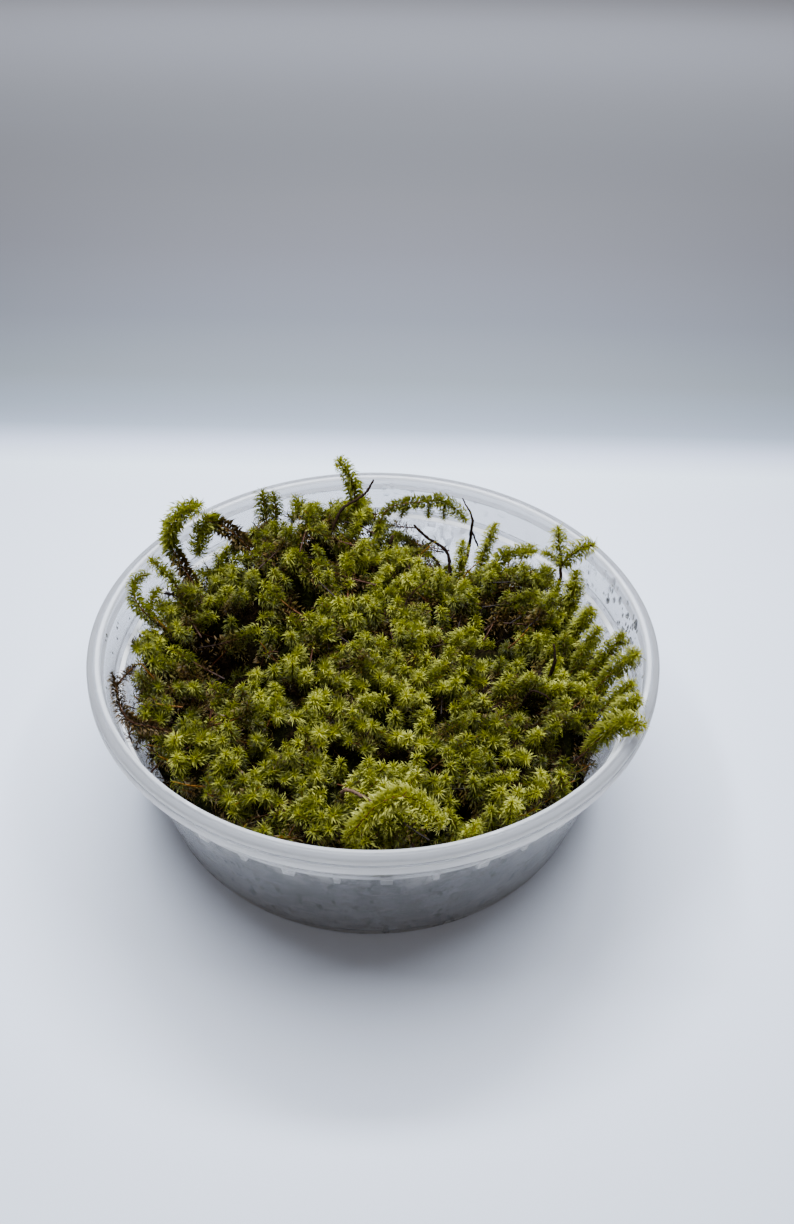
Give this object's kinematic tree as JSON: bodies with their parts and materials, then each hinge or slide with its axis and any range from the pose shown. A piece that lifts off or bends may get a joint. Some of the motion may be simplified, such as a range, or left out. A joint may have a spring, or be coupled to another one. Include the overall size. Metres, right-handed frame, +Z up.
{
  "type": "moss clump in a round tub",
  "caption": "Tangled clump of leafy green moss filling a low translucent round tub, with loose shoots and twigs reaching over the rim.",
  "frame": {"origin": "centre of the tub's foot, on the surface it stands on", "axes": "+Z up out of the tub, -Y towards the viewer's side of the clump, +X to the viewer's right"},
  "size_m": [0.117, 0.117, 0.054],
  "materials": {
    "tub": "frosted translucent polypropylene",
    "moss": "soft damp leaves",
    "moss_dark": "shaded olive leaves",
    "moss_pale": "pale new leaves",
    "dead_moss": "dry brown leaves",
    "stem": "dark bare stem"
  },
  "bodies": {
    "root": {"tub": "tub", "moss_mat": "moss", "shoot_left_arch": "moss", "shoot_left_leg": "moss_dark", "shoot_left_low": "moss", "shoot_left_hook": "moss", "tuft_back_left": "moss_dark", "shoot_back_spike": "moss", "twig_back_thin": "stem", "shoot_back_level": "moss", "twig_back_dark": "stem", "stem_back_low": "stem", "stem_back_high": "stem", "shoot_back_short": "moss", "shoot_back_right": "moss", "shoot_right_reach": "moss", "branch_right": "moss", "shoot_right_hanging": "moss", "shoot_right_low": "moss", "shoot_right_edge": "moss", "shoot_rim_back": "moss", "shoot_rim_high": "moss", "shoot_rim_middle": "moss", "shoot_rim_low": "moss", "shoot_rim_front": "moss", "shoot_dead_left": "dead_moss", "twig_front_dry": "stem", "twig_arc_thin": "stem", "stem_centre_dark": "stem", "shoot_pale_arch": "moss_pale"}
  },
  "joints": []
}
